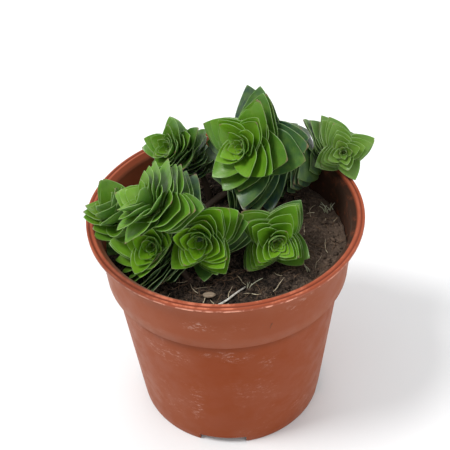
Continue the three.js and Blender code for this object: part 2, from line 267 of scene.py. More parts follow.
def box_of(name):
    """The lowest and the highest corner of a CAD node"""
    return [np.array(corner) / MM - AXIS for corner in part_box(name)]


def placed(name, data):
    """A new object in the scene"""
    made = bpy.data.objects.new(name, data)
    bpy.context.scene.collection.objects.link(made)
    return made


def mesh_of(name, points, faces):
    """A mesh in the frame of the CAD model"""
    mesh = bpy.data.meshes.new(name)
    mesh.from_pydata([tuple(point) for point in (np.asarray(points) + AXIS) * MM], [], faces)
    return mesh


def make_piece(name, points, faces, look, replaced=None, values=None):
    """A smooth piece that rides on the part, with values kept per point.
    It stands for a CAD node if one is named."""
    mesh = mesh_of(name, points, faces)
    mesh.polygons.foreach_set("use_smooth", [True] * len(mesh.polygons))
    for key, column in (values or {}).items():
        mesh.attributes.new(key, "FLOAT", "POINT").data.foreach_set("value", np.asarray(column, np.float32))
    mesh.materials.append(look)
    mesh.update()
    piece = placed(name, mesh)
    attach(piece, "root")
    if replaced:
        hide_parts(replaced)
    return piece


# Materials


def plug(made, sockets):
    """Gives each socket of a node its value, or links another node's output to it"""
    for key, value in sockets.items():
        if isinstance(value, bpy.types.NodeSocket):
            made.id_data.links.new(value, made.inputs[key])
        else:
            made.inputs[key].default_value = value


def node(tree, kind, sockets=None, out=0, **settings):
    """Adds a node with its settings, values and links, and gives one of its outputs"""
    made = tree.nodes.new("ShaderNode" + kind)
    for key, value in settings.items():
        setattr(made, key, value)
    plug(made, sockets or {})
    return made.outputs[out]


def material(name, kept=(), **grains):
    """A new material, what adds nodes to it, and what its patterns read: the place in mm, values that
    the mesh keeps per point, and noises. Each noise has the size of its patches in mm, the same all
    ways or one for each axis, how many finer layers it has, and how rough they are."""
    made = bpy.data.materials.new(name)
    made.use_nodes = True
    add = partial(node, made.node_tree)
    metres = add("TexCoord", out="Object")
    at = SimpleNamespace(place=add("VectorMath", {0: metres, 1: np.full(3, 1 / MM)}, operation="MULTIPLY"))
    for key in kept:
        setattr(at, key, add("Attribute", attribute_name=key, out="Fac"))
    for key, (size, layers, rough) in grains.items():
        spot = add("VectorMath", {0: at.place, 1: np.full(3, size)}, operation="DIVIDE")
        setattr(at, key, add("TexNoise", {"Vector": spot, "Scale": 1, "Detail": layers, "Roughness": rough}))
    return made, add, at


def surfaced(made, sockets):
    """Sets a material's shader, and gives the material"""
    plug(made.node_tree.nodes["Principled BSDF"], sockets)
    return made


def level(add, *parts):
    """Parts multiplied: each is a number, an output or a ramp. A ramp (value, low, high, start, end)
    eases from start to end, or else from 0 to 1, as the value runs from low to high."""
    product = None
    for part in parts:
        if isinstance(part, tuple):
            ramp = dict(enumerate((*part, 0, 1)[:5]))
            part = add("MapRange", ramp, interpolation_type="SMOOTHSTEP")
        product = part if product is None else add("Math", {0: product, 1: part}, operation="MULTIPLY")
    return product


def paint(colour):
    """A colour from its hex value, or another node's output as it is"""
    return linear(colour) if isinstance(colour, str) else colour


def coated(add, base, *coats):
    """A base colour under coats laid on in turn: each is its colour, then the parts of its strength"""
    under = paint(base)
    for colour, *strength in coats:
        under = add("Mix", {0: level(add, *strength), 6: under, 7: paint(colour)}, out=2, data_type="RGBA")
    return under


def belt(value, middle, half):
    """Two ramps whose product is 1 where a value is at the middle and 0 half a width away"""
    return (value, middle - half, middle), (value, middle + half, middle)


def near_to(add, place, spot, reach):
    """A ramp that is 1 at a spot and falls to 0 at its reach each way"""
    offset = add("VectorMath", {0: place, 1: AXIS + spot}, operation="SUBTRACT")
    offset = add("VectorMath", {0: offset, 1: reach}, operation="DIVIDE")
    return add("VectorMath", {0: offset}, out="Value", operation="LENGTH"), 1.0, 0.25


def leaf_material():
    """Crassula leaf, as it grew: a waxy skin over wet flesh. The eye sees satin highlights, some light
    coming through, lime hearts, bluish old leaves, and a pale horny margin that dries to brown. Some
    hearts are brightened with lime as painted light, and old leaves are darkened as painted shade."""
    heart, grown, old, fresh_and_lit, faded = "7fae2a", "68a024", "34504d", "93d420", "7d9a58"
    underside, blotched, dusky, base, horny = "5d7560", "8cae38", "3f6a1e", "86a83e", "9fbb78"
    dried, browned, glowing = "94805f", "8f6f55", "9dc22c"
    made, add, at = material(
        "crassula_leaf",
        kept=("age", "rim", "grey", "under", "along", "draw"),
        cells=(0.35, 2, 0.55),  # skin cells are about 0.05 mm, and are drawn coarser so that they show
        wax=(2.2, 3, 0.55),
        dimples=(3.0, 2, 0.55),
        blotches=(3.5, 4, 0.55),
        dusk=(9, 2, 0.55),
    )
    margin = coated(add, horny, (dried, (at.along, 0.6, 0.95), (at.draw, 0.3, 0.7), (at.age, 0.25, 0.6)))
    colour = coated(
        add,
        heart,
        (grown, (at.age, 0, 0.35)),
        # Old leaves are bluish, and are darkened too as painted shade, since they sit low under the rest
        (old, (at.age, 0.3, 1)),
        # A fresh lime on young leaves, laid on bright as painted light on the hearts of some shoots
        (fresh_and_lit, (at.grey, 0, -1), (at.age, 0, 0.95, 1, 0)),
        (faded, (at.grey, 0, 1), (at.age, 0.5, 1, 1, 0.15)),
        (underside, at.under, 0.55),
        (blotched, (at.blotches, 0.35, 0.7), 0.35),
        (dusky, (at.dusk, 0.4, 0.75), 0.3),
        (base, (at.along, 0, 0.3, 0.3, 0)),
        (margin, (at.rim, 0.03, 0.2, 0.7, 0)),
        (browned, (at.along, 0.93, 1), (at.draw, 0.5, 0.8)),
    )
    skin = {
        "Base Color": colour,
        "Roughness": level(add, (at.wax, 0.3, 0.75, 0.3, 0.46)),
        "Specular IOR Level": 0.62,
        "Subsurface Weight": 0.15,
        "Subsurface Radius": (0.35, 0.8, 0.12),
        "Subsurface Scale": 1.0 * MM,
    }
    cells = add("Bump", {"Height": at.cells, "Distance": 0.03 * MM, "Strength": 0.5})
    dimples = add("Bump", {"Height": at.dimples, "Distance": 0.25 * MM, "Strength": 0.6, "Normal": cells})
    surfaced(made, skin | {"Normal": dimples})
    shader = made.node_tree.nodes["Principled BSDF"].outputs[0]
    glow = add("BsdfTranslucent", {"Color": coated(add, colour, (glowing, 0.5))})
    plug(made.node_tree.nodes["Material Output"], {"Surface": add("MixShader", {0: 0.3, 1: shader, 2: glow})})
    return made


def stem_material():
    """Crassula stem, as it grew: dull corky bark with fine upright cracks, and green skin near the tip"""
    damp_bark, dry_bark, green = "2c2019", "574433", "6f8a3a"
    made, add, at = material(
        "crassula_stem",
        kept=("along",),
        bark=(1.4, 4, 0.55),
        cracks=((0.8, 0.8, 0.8 / 0.3), 4, 0.55),
    )
    colour = coated(add, damp_bark, (dry_bark, at.bark), (green, (at.along, 0.55, 0.95)))
    cracks = add("Bump", {"Height": at.cracks, "Distance": 0.3 * MM, "Strength": 1})
    return surfaced(made, {"Base Color": colour, "Roughness": 0.75, "Normal": cracks})


def shaded_mouldings(high, shade):
    """Coats that darken the pot right under its step and right under its lip"""
    return (
        (shade, (high, 61, POT.shoulder, 0, 0.5), (high, POT.shoulder + 0.2, POT.shoulder + 0.1)),
        (shade, (high, UNDER_LIP - 2.7, UNDER_LIP - 0.2, 0, 0.45), (high, UNDER_LIP + 0.1, UNDER_LIP)),
    )


def scuffs(add, at):
    """Coats of chalky dust: a little anywhere, and more in the scuffed patches"""
    dust = (at.dust, 0.5, 0.68)
    coats = [("c9a193", dust, (at.stray, 0.5, 0.68, 0, 0.3))]
    for patch, reach, strength in SCUFFS:
        near = near_to(add, at.place, patch, reach)
        coats.append(("dcbcae", dust, near, (at.frayed, 0.3, 0.55), strength))
    return coats


def lip_highlights_and_shade(high, ahead, away, at):
    """Coats on the lip: a pale painted highlight along its lower edge and another along its top, both
    strongest at the front, and painted shade in its groove
    """
    edge_highlight, groove_shade, top_highlight = "eba58c", "5e2618", "cf7a5c"
    edge = belt(high, UNDER_LIP + 0.4, 0.9)
    outermost = away, POT.rim - 0.6, POT.rim - 0.3
    groove = belt(away, POT.rim - 1.25, 0.6)
    top = POT.height
    return (
        # Painted highlight along the lower edge, strongest at the front
        (edge_highlight, *edge, (at.chips, 0.42, 0.56), outermost, (ahead, -30, -48, 0.3, 1)),
        # Painted shade in the lip's groove
        (groove_shade, *groove, (high, top - 1, top - 0.7, 0, 0.75)),
        # Painted highlight along the lip's top, strongest at the front
        (top_highlight, (high, top - 0.4, top - 0.1), (at.rubs, 0.42, 0.6), (ahead, -20, -50, 0.15, 0.8)),
    )


def pot_material():
    """Terracotta-coloured polypropylene, injection moulded and then handled. The eye sees a satin skin
    with cloudy colour, chalky scuffs, a grooved lip ragged where it has worn, and peat dirt on the inner
    wall. Painted shade lies under the step and the lip, in the lip's groove, on its front left and over the
    inner wall, and painted highlights run along the lip's lower edge and top, strongest at the front."""
    plastic, cloudy, shade, lip, film, painted_lip_shade, dirt_and_shade = (
        "85370c", "873b15", "4a1d0d", "963f20", "a3705c", "5f3122", "38241b",
    )
    made, add, at = material(
        "terracotta_plastic",
        kept=("inside",),
        grain=(0.3, 3, 0.55),  # mould grain is about 0.1 mm, and is drawn coarser so that it shows
        dust=((3, 3, 3 / 1.8), 8, 0.8),
        chips=(3.5, 4, 0.55),
        soil=(4, 5, 0.7),
        gloss=(7, 4, 0.55),
        frayed=(8, 4, 0.55),
        rubs=(9, 5, 0.7),
        dents=(11, 2, 0.55),
        clouds=(16, 4, 0.55),
        film=(22, 3, 0.55),
        stray=(24, 3, 0.55),
    )
    right, ahead, high = (add("SeparateXYZ", {0: at.place}, out=axis) for axis in "XYZ")
    across = add("VectorMath", {0: at.place, 1: AXIS}, operation="SUBTRACT")
    across = add("VectorMath", {0: across, 1: (1, 1, 0)}, operation="MULTIPLY")
    away = add("VectorMath", {0: across}, out="Value", operation="LENGTH")
    patch, reach, strength = LIP_SHADE_PATCH
    lip_shade_mask = near_to(add, at.place, patch, reach)
    colour = coated(
        add,
        plastic,
        (cloudy, (at.clouds, 0.3, 0.7)),
        *shaded_mouldings(high, shade),
        (lip, (high, UNDER_LIP - 0.2, UNDER_LIP + 0.4)),
        (film, (at.film, 0.4, 0.7), 0.06),
        (film, (high, POT.shoulder, POT.shoulder + 1.7, 0, 0.16)),
        *scuffs(add, at),
        *lip_highlights_and_shade(high, ahead, away, at),
        # Painted shade on the front left of the lip
        (painted_lip_shade, lip_shade_mask, strength),
        # Peat dirt on the inner wall, deepened towards the right as painted shade
        (dirt_and_shade, at.inside, (at.soil, 0.3, 0.5, 0.6, 1), (right, -30, 25, 0.12, 1)),
    )
    skin = {
        "Base Color": colour,
        "Roughness": level(add, (at.gloss, 0.3, 0.7, 0.4, 0.58)),
        "Specular IOR Level": 0.08,
        "Sheen Weight": 0.11,
        "Sheen Tint": linear("ffe2c8"),
        "Sheen Roughness": 0.45,
    }
    grain = add("Bump", {"Height": at.grain, "Distance": 0.02 * MM, "Strength": 0.6})
    dents = add("Bump", {"Height": at.dents, "Distance": 0.3 * MM, "Strength": 0.3, "Normal": grain})
    return surfaced(made, skin | {"Normal": dents})


def peat_material():
    """Potting peat, milled and watered: matt crumbs and fibres from near black to brown, damp in
    patches, paler towards the right as painted light, and each crumb a little different"""
    damp, dry, pale, fleck = "1c1714", "7b6859", "8a7362", "9c8468"
    made, add, at = material(
        "peat",
        kept=("draw",),
        flecks=(0.8, 2, 0.55),
        grit=(0.9, 6, 0.7),
        crumbs=(1.4, 6, 0.8),
        lumps=(3.0, 4, 0.55),
        puddles=(7, 3, 0.55),
    )
    right = add("SeparateXYZ", {0: at.place}, out="X")
    colour = coated(
        add,
        damp,
        (dry, (at.crumbs, 0.4, 0.68)),
        (damp, (at.puddles, 0.4, 0.62, 0, 0.6)),
        # Painted light: the soil paler towards the right
        (pale, (right, 10, 50, 0, 0.5)),
        (pale, (at.draw, 0.35, 1, 0, 0.25)),
        (damp, (at.draw, 0.35, 0, 0, 0.35)),
        (fleck, (at.flecks, 0.62, 0.72), 0.6),
    )
    grit = add("Bump", {"Height": at.grit, "Distance": 0.9 * MM, "Strength": 1})
    lumps = add("Bump", {"Height": at.lumps, "Distance": 1.2 * MM, "Strength": 0.8, "Normal": grit})
    surface = {"Base Color": colour, "Roughness": 0.95, "Specular IOR Level": 0.25, "Normal": lumps}
    return surfaced(made, surface)


def litter_material(name, dark, light, streak=0.9):
    """Stalks, wood and seedlings, as they grew: dull, with darker and lighter streaks, and some pieces
    paler. Plant grain is about 0.1 mm wide, and its streaks are drawn coarser so that they show."""
    made, add, at = material(name, kept=("draw",), streaks=(streak, 4, 0.55))
    colour = coated(add, dark, (light, (at.streaks, 0.3, 0.7)), (light, (at.draw, 0.1, 1, 0, 0.4)))
    streaks = add("Bump", {"Height": at.streaks, "Distance": 0.15 * MM, "Strength": 1})
    return surfaced(made, {"Base Color": colour, "Roughness": 0.7, "Normal": streaks})


def floor_material():
    """Matt studio paper, pale and almost even"""
    made, add, at = material("paper_floor", mottle=(60, 2, 0.55))
    colour = coated(add, "eaeaea", ("efefef", at.mottle))
    return surfaced(made, {"Base Color": colour, "Roughness": 0.9, "Specular IOR Level": 0.1})


# The shoots


def soil_height(x, y):
    """The soil's surface, as in the CAD model"""
    share = np.minimum(1, np.hypot(x, y) / POT.band_foot)
    lumps = np.sin(0.31 * x + 0.8) * np.cos(0.27 * y) + 0.7 * np.sin(0.53 * y - 0.36 * x + 2)
    return SOIL.level + SOIL.mound * (1 - share**2) + SOIL.relief * lumps * (1 - share**4)


def stem_frames(shoot):
    """Down the stem from its tip: places, directions of growth, sideways directions and the run"""
    turn, rise = np.radians(shoot.faces)
    axis = np.array([math.sin(turn) * math.cos(rise), -math.cos(turn) * math.cos(rise), math.sin(rise)])
    tip = np.array(shoot.tip, float)
    root = np.array([*shoot.root, SOIL.level - STEM.hole_depth])
    span = np.linalg.norm(tip - root)
    early, late = shoot.straight
    knots = root, root + [0, 0, span * early], tip - axis * span * late, tip
    t = np.linspace(1, 0, STEM.steps + 1)[:, None]
    weights = (1 - t) ** 3, 3 * (1 - t) ** 2 * t, 3 * (1 - t) * t**2, t**3
    places = sum(weight * knot for weight, knot in zip(weights, knots))
    slopes = 3 * (1 - t) ** 2 * (knots[1] - knots[0]) + 6 * (1 - t) * t * (knots[2] - knots[1])
    slopes = slopes + 3 * t**2 * (knots[3] - knots[2])
    growth = slopes / np.linalg.norm(slopes, axis=1)[:, None]
    upright = abs(growth[0][2]) >= 0.97
    side = np.array([0, 1.0, 0]) if upright else np.array([0, 0, 1.0])
    sides = []
    for along in growth:
        side = unit(side - side.dot(along) * along)
        sides.append(side)
    run = np.concatenate([[0], np.cumsum(np.linalg.norm(np.diff(places, axis=0), axis=1))])
    return places, growth, np.array(sides), run


def frame_at(frames, run):
    """A place on the stem, with the direction of growth and the sideways direction there"""
    *rows, runs = frames
    at, along, side = (np.array([np.interp(run, runs, column) for column in row.T]) for row in rows)
    along = unit(along)
    return at, along, unit(side - side.dot(along) * along)


def pair_runs(shoot, frames):
    """How far down the stem each pair of leaves sits, to where the stem is bare"""
    runs = []
    run = 0
    for pair in range(shoot.pairs + shoot.old):
        if run >= frames[3][-1]:
            break
        at = frame_at(frames, run)[0]
        if at[2] < soil_height(at[0], at[1]) + STEM.bare_above:
            break
        runs.append(run)
        run += shoot.gap * (FIRST_GAP.share + (1 - FIRST_GAP.share) * (1 - math.exp(-pair / FIRST_GAP.pairs)))
    return runs


def leaf_at(shoot, frames, runs, pair, half):
    """One leaf of a pair, which may also lie between two pairs of the CAD model"""
    whole = math.floor(pair)
    turn = shoot.turn * whole + (shoot.turn + 180) * (pair - whole)
    grown = 1 - math.exp(-(pair + LEAF.first_grown) / shoot.young)
    opened = 1 - math.exp(-pair / shoot.opening)
    drooped = LEAF.droop * max(0, pair - LEAF.droop_after)
    return {
        "pair": pair,
        "frame": frame_at(frames, np.interp(pair, range(len(runs)), runs)),
        "angle": math.radians(shoot.phase + turn + half),
        "length": shoot.leaf * grown,
        "open": LEAF.first_open + (shoot.open - LEAF.first_open) * opened + drooped,
        "bend": shoot.bend - LEAF.young_curl * math.exp(-pair / LEAF.curl_pairs),
        "broad": 1 + LEAF.young_broad * math.exp(-pair / LEAF.broad_pairs),
    }


def blade(leaf, share, lift, u, wide):
    """Places on a leaf's middle layer, u along it and wide across, and which way its upper face looks"""
    at, along, side = leaf["frame"]
    out = side * math.cos(leaf["angle"]) + np.cross(along, side) * math.sin(leaf["angle"])
    sideways = np.cross(along, out)
    arc = math.radians(leaf["bend"])
    start = math.radians(leaf["open"] - lift) - LEAF.flat_at * arc
    turn = start + arc * u
    long = leaf["length"] * share
    reach = LEAF.root_radius + long * (math.cos(start) - np.cos(turn)) / arc
    height = long * (np.sin(turn) - math.sin(start)) / arc
    away = np.hypot(reach, wide) - reach
    flatness = np.sin(turn) ** 2
    wrap = np.clip(wide / reach, -LEAF.most_wrap, LEAF.most_wrap)
    swing = wrap + (np.arctan2(wide, reach) - wrap) * flatness
    spoke = np.cos(swing)[..., None] * out + np.sin(swing)[..., None] * sideways
    face = np.sin(turn)[..., None] * along - np.cos(turn)[..., None] * spoke
    lifted = (height + away * np.sin(turn) * np.cos(turn))[..., None] * along
    return at + lifted + spoke * (reach + away * flatness)[..., None], face


def cad_corners(leaf, share, lift):
    """The corners that the leaf has in the CAD model if it took this share of its length and lift"""
    rows = []
    for u, half in zip(LEAF.stations, LEAF.half_widths):
        rows += [(u, rim * half) for rim in ((-1, 0, 1) if half else (0,))]
    u, half = np.array(rows).T
    wide = half * leaf["length"] * leaf["broad"] * math.sqrt(share)
    middle, face = blade(leaf, share, lift, u, wide)
    thick = face * LEAF.thick / 2
    return np.concatenate([middle + thick, middle - thick])[SUNK_CORNERS:]


def corner_tree(piece):
    """A search tree over the corners of a CAD node"""
    vertices = piece.data.vertices
    corners = KDTree(len(vertices))
    for i, vertex in enumerate(vertices):
        corners.insert(vertex.co, i)
    corners.balance()
    return corners


def form_taken(leaf, shoot, corners):
    """The share of its length and the lift that a leaf took in the CAD model, or None if it was shed"""
    if leaf["pair"] >= shoot.pairs:
        return OLD_SHARE, 0
    if leaf["pair"] == 0:
        return TRIES[0]
    found = []
    for share, lift in TRIES:
        places = (cad_corners(leaf, share, lift) + AXIS) * MM
        found.append(sum(corners.find(Vector(place))[2] < SAME_PLACE * MM for place in places))
    best = int(np.argmax(found))
    return TRIES[best] if found[best] >= LEAST_FOUND else None


def form_between(leaf, whole):
    """The share and the lift of a leaf that the CAD model leaves out, from the nearest in its own row"""
    reach = 2  # how many pairs away a leaf still counts
    same_row = 0.5  # the cosine of 60 degrees, the most that leaves of one row are turned apart
    share, lift, total = 0, 0, 0
    for other in whole:
        far = abs(other["pair"] - leaf["pair"])
        if far < reach and math.cos(other["angle"] - leaf["angle"]) > same_row:
            total += reach - far
            if other["form"]:
                share += (reach - far) * other["form"][0]
                lift += (reach - far) * other["form"][1]
            elif far < 1:
                return None
    return (share / total, lift / total) if share else None


def half_width(u):
    """Half the width of a leaf as a share of its length: broad at the base, drawn to a point"""
    widest = 0.4
    highest = 0.466  # about the most that the rest of the curve reaches
    return widest * (u + 0.12) ** 0.5 * (1 - np.minimum(u, 0.9995)) ** 0.92 / highest


def plate_faces(rows, columns):
    """The faces of a closed thin plate, with its upper points first, row by row, and then its lower ones"""
    low = rows * columns
    faces = []
    for i in range(rows - 1):
        for j in range(columns - 1):
            a, b = i * columns + j, (i + 1) * columns + j
            faces.append((a, a + 1, b + 1, b))
            faces.append((a + low, b + low, b + 1 + low, a + 1 + low))
        a, b = i * columns, (i + 1) * columns
        faces.append((a, b, b + low, a + low))
        a, b = a + columns - 1, b + columns - 1
        faces.append((a + low, b + low, b, a))
    for a in range(columns - 1):
        faces.append((a, a + low, a + low + 1, a + 1))
    for a in range(low - columns, low - 1):
        faces.append((a + 1, a + low + 1, a + low, a))
    return faces


LEAF_FACES = plate_faces(len(FINE_LEAF.stations), len(FINE_LEAF.columns))


def leaf_body(leaf, share, lift, rng):
    """A leaf as a closed thin body: its points, faces and the values that its material reads"""
    u, v = np.meshgrid(FINE_LEAF.stations, FINE_LEAF.columns, indexing="ij")
    half = half_width(u) * leaf["length"] * leaf["broad"] * math.sqrt(share)
    young = math.exp(-max(0, leaf["pair"]) / LEAF.broad_pairs)
    tilt = rng.normal(0, FINE_LEAF.tilt)
    twist = rng.normal(0, FINE_LEAF.twist)
    wave = rng.uniform(0, FULL_TURN)
    leaf = leaf | {"open": leaf["open"] + tilt * (1 - young), "angle": leaf["angle"] + twist}
    share *= min(FINE_LEAF.most_size, rng.normal(*FINE_LEAF.size))
    middle, face = blade(leaf, share, lift, u, v * half)
    cup = FINE_LEAF.cup * (1 + young)
    ripple = FINE_LEAF.ripple * np.sin(FULL_TURN * FINE_LEAF.ripples * u + wave) * np.sign(v)
    middle = middle + face * (half * (cup * v**2 + ripple * np.abs(v) ** 3))[..., None]
    thick = FINE_LEAF.thick - FINE_LEAF.young_thin * young
    thick = thick * (1 - FINE_LEAF.rim_thin * np.abs(v) ** 2.5) * (1 - FINE_LEAF.tip_thin * u)
    thick[-1] *= FINE_LEAF.point
    upper, lower = middle + face * thick[..., None], middle - face * thick[..., None]
    tip_narrows = 0.5
    to_rim = np.minimum((1 - np.abs(v)) * half, (1 - u) * leaf["length"] * share * tip_narrows)
    age = 0 * u + np.clip(leaf["pair"] / AGED_PAIRS, 0, 1)
    values = {"rim": to_rim, "along": u, "under": 0 * u, "draw": 0 * u + rng.random(), "age": age}
    values = {key: np.concatenate([grid.ravel(), grid.ravel()]) for key, grid in values.items()}
    values["under"][u.size :] = 1
    return np.concatenate([upper.reshape(-1, 3), lower.reshape(-1, 3)]), LEAF_FACES, values


def joined(bodies):
    """Several bodies as one list of points and one of faces, with their values"""
    points, faces, values = [], [], {}
    start = 0
    for more, sides, columns in bodies:
        points.append(more)
        faces += [tuple(corner + start for corner in side) for side in sides]
        for key, column in columns.items():
            values.setdefault(key, []).append(column)
        start += len(more)
    return np.concatenate(points), faces, {key: np.concatenate(column) for key, column in values.items()}


def tube_body(places, radii, sides, values=None):
    """A tube along places, closed at both ends, with a radius at each"""
    growth = np.gradient(places, axis=0)
    growth /= np.linalg.norm(growth, axis=1)[:, None]
    side = np.cross(growth[0], (0.3, 0.2, 0.9))
    points = []
    angles = np.linspace(0, FULL_TURN, sides, endpoint=False)
    for place, along, radius in zip(places, growth, radii):
        side = unit(side - side.dot(along) * along)
        across = np.cross(along, side)
        points += [place + radius * (side * math.cos(angle) + across * math.sin(angle)) for angle in angles]
    faces = []
    for i in range(len(places) - 1):
        for j in range(sides):
            a, b = i * sides + j, i * sides + (j + 1) % sides
            faces.append((a, b, b + sides, a + sides))
    last = (len(places) - 1) * sides
    faces.append(tuple(range(sides))[::-1])
    faces.append(tuple(range(last, last + sides)))
    run = np.repeat(np.linspace(0, 1, len(places)), sides)
    even = {key: 0 * run + value for key, value in (values or {}).items()}
    return np.array(points), faces, {"along": run} | even


def stem_body(frames):
    """A stem from its root up: it tapers, has faint rings where leaves have dropped, and ends in a point"""
    places = frames[0][::-1][::2]
    share = np.linspace(0, 1, len(places))
    rings = 1 + STEM.ring_swell * np.sin(share * STEM.ring_turn)
    point = np.minimum(1, STEM.point + (1 - share) * STEM.sharpness)
    return tube_body(places, (STEM.radius - STEM.taper * share) * rings * point, STEM.sides)


def make_shoot(name, leaf_look, stem_look):
    """A shoot's leaves as one piece and its stem as another, both in place of its CAD node"""
    shoot = SHOOTS[name]
    rng = seeded(name)
    frames = stem_frames(shoot)
    corners = corner_tree(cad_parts[name])
    runs = pair_runs(shoot, frames)
    whole = [leaf_at(shoot, frames, runs, pair, half) for pair in range(len(runs)) for half in HALVES]
    whole = [leaf | {"form": form_taken(leaf, shoot, corners)} for leaf in whole]
    between = []
    for step in range(-1, FINER * (len(runs) - 1)):
        for half in HALVES if step % FINER else ():
            leaf = leaf_at(shoot, frames, runs, step / FINER, half)
            if rng.random() < shoot.full or step < HEART:
                between.append(leaf | {"form": form_between(leaf, whole)})
    grown = [leaf for leaf in whole + between if leaf["form"]]
    points, faces, values = joined(leaf_body(leaf, *leaf["form"], rng) for leaf in grown)
    values["grey"] = np.full(len(points), shoot.grey)
    make_piece(name + "_leaves", points, faces, leaf_look, name, values)
    points, faces, values = stem_body(frames)
    make_piece(name + "_stem", points, faces, stem_look, name, values)


# The pot


def lathe(profile, sides, wobble=None):
    """A body of revolution from [radius, height] points, closed where it starts and ends on the axis"""
    points, rings, faces = [], [], []
    for radius, height in profile:
        if radius == 0:
            rings.append([len(points)] * sides)
            points.append((0, 0, height))
            continue
        rings.append(list(range(len(points), len(points) + sides)))
        for i in range(sides):
            angle = FULL_TURN * i / sides
            wider, higher = wobble(radius, height, angle) if wobble else (0, 0)
            reach = radius + wider
            points.append((reach * math.cos(angle), reach * math.sin(angle), height + higher))
    for ring, other in zip(rings, rings[1:]):
        for i in range(sides):
            j = (i + 1) % sides
            corners = dict.fromkeys((ring[i], ring[j], other[j], other[i]))
            if len(corners) > 2:
                faces.append(tuple(corners))
    return np.array(points, float), faces


def cut_out(body, name, points, faces):
    """Takes a shape out of a body's mesh"""
    cutter = placed(name, mesh_of(name, points, faces))
    cut = body.modifiers.new("cut", "BOOLEAN")
    cut.operation = "DIFFERENCE"
    cut.solver = "EXACT"
    cut.object = cutter
    cleared = bpy.data.meshes.new_from_object(body.evaluated_get(bpy.context.evaluated_depsgraph_get()))
    body.modifiers.clear()
    body.data = cleared
    bpy.data.objects.remove(cutter)


def box_body(low, high):
    """A box between two corners"""
    corners = [(x, y, z) for x in (low[0], high[0]) for y in (low[1], high[1]) for z in (low[2], high[2])]
    faces = [(0, 1, 3, 2), (4, 6, 7, 5), (0, 4, 5, 1), (2, 3, 7, 6), (0, 2, 6, 4), (1, 5, 7, 3)]
    return np.array(corners, float), faces


def spun(points, degrees):
    """Points turned round the upright axis"""
    cos, sin = math.cos(math.radians(degrees)), math.sin(math.radians(degrees))
    turn = np.array([[cos, -sin, 0], [sin, cos, 0], [0, 0, 1]])
    return points @ turn.T


def lip_wobble(radius, height, angle):
    """The thin lip is a little wavy, and its lower edge is ragged where it has worn"""
    if radius < POT.band_top - 0.5 or height < UNDER_LIP - 2.2:
        return 0, 0
    place = Vector((math.cos(angle), math.sin(angle), 0.3))
    waves, nicks, frays = 2.2, 23, 60
    slow = noise.noise(place * waves)
    quick = noise.noise(place * nicks) + 0.5 * noise.noise(place * frays)
    at_edge = height < UNDER_LIP + 0.4 and radius > POT.rim - 0.9
    ragged = 0.28 * quick if at_edge else 0
    return 0.18 * slow + 0.25 * ragged, 0.12 * slow + ragged


def pot_outside():
    """The pot's outline from under its floor, up its outside and over its grooved lip"""
    top, rim, lip, shoulder = POT.height, POT.rim, POT.rim_inner, POT.shoulder
    return [
        (0, POT.floor_under),
        (POT.foot - POT.ring, POT.floor_under),
        (POT.foot - POT.ring, 0.25),
        (POT.foot - POT.ring + 0.25, 0),
        (POT.foot - 0.6, 0),
        (POT.foot - 0.18, 0.18),
        (POT.foot, 0.6),
        *((POT.foot + SLOPE * height, height) for height in (4, 14, 28, 42, 56, 64, 67)),
        (POT.body_top, shoulder - 0.3),
        (POT.body_top + 0.3, shoulder),
        (POT.band_foot - 0.35, shoulder),
        (POT.band_foot, shoulder + 0.35),
        (POT.band_foot + 0.3, 74),
        (POT.band_foot + 0.75, 83),
        (POT.band_top - 0.1, UNDER_LIP - 0.5),
        (POT.band_top + 0.35, UNDER_LIP),
        (rim - 0.9, UNDER_LIP),
        (rim - 0.3, UNDER_LIP + 0.05),
        (rim, UNDER_LIP + 0.3),
        (rim, top - 0.5),
        (rim - 0.1, top - 0.15),
        (rim - 0.4, top),
        (rim - 0.75, top - 0.1),
        (rim - 1.05, top - 0.45),
        (lip + 1.25, top - 0.45),
        (lip + 0.8, top - 0.05),
        (lip + 0.25, top),
        (lip, top - 0.2),
    ]


def pot_inside():
    """The rest of the pot's outline, down its inner wall to the middle of its floor"""
    wall, shoulder, floor = POT.wall, POT.shoulder, POT.floor_under + POT.floor
    corner = POT.foot - wall + SLOPE * floor
    return [
        (POT.rim_inner - 0.5, UNDER_LIP + 0.4),
        (POT.band_top - wall + 0.3, UNDER_LIP - 0.2),
        (POT.band_top - wall, UNDER_LIP - 1.2),
        (POT.band_foot - wall, shoulder + wall + 0.6),
        (POT.body_top - wall, shoulder + wall),
        (POT.body_top - wall - 0.1, shoulder - 1),
        (corner + 0.2, floor + 0.4),
        (corner - 0.3, floor),
        (0, floor),
    ]


def make_pot(look):
    """The pot, with low notches in its foot ring and drain holes in its floor"""
    within = pot_inside()
    points, faces = lathe(pot_outside() + within, POT.sides, lip_wobble)
    inside = np.zeros(len(points))
    inside[-POT.sides * (len(within) - 1) - 1 :] = 1
    pot = make_piece("nursery_pot", points, faces, look, "pot", {"inside": inside})
    half = POT.notch_wide / 2
    points, faces = box_body((POT.foot - 7, -half, -2), (POT.foot + 4, half, POT.notch_high))
    for i in range(POT.notches):
        cut_out(pot, "notch_cutter", spun(points, POT.first_notch + 360 / POT.notches * i), faces)
    points, faces = lathe([(0, 0), (POT.drain, 0), (POT.drain, 9), (0, 9)], 32)
    for i in range(POT.drains):
        angle = FULL_TURN * (i + 0.5) / POT.drains
        centre = np.array([math.cos(angle), math.sin(angle), 0]) * POT.drain_circle
        cut_out(pot, "drain_cutter", points + centre, faces)
    pot.data.polygons.foreach_set("use_smooth", [True] * len(pot.data.polygons))


# The soil and what lies on it


def ground(x, y):
    """The crumbly surface of the soil at a place"""
    coarse, seed, height = 0.3, 4.2, 0.8
    fade, finer, layers = 0.7, 2.1, 5
    rough = noise.fractal(Vector((x * coarse, y * coarse, seed)), fade, finer, layers)
    return float(soil_height(x, y)) + height * rough


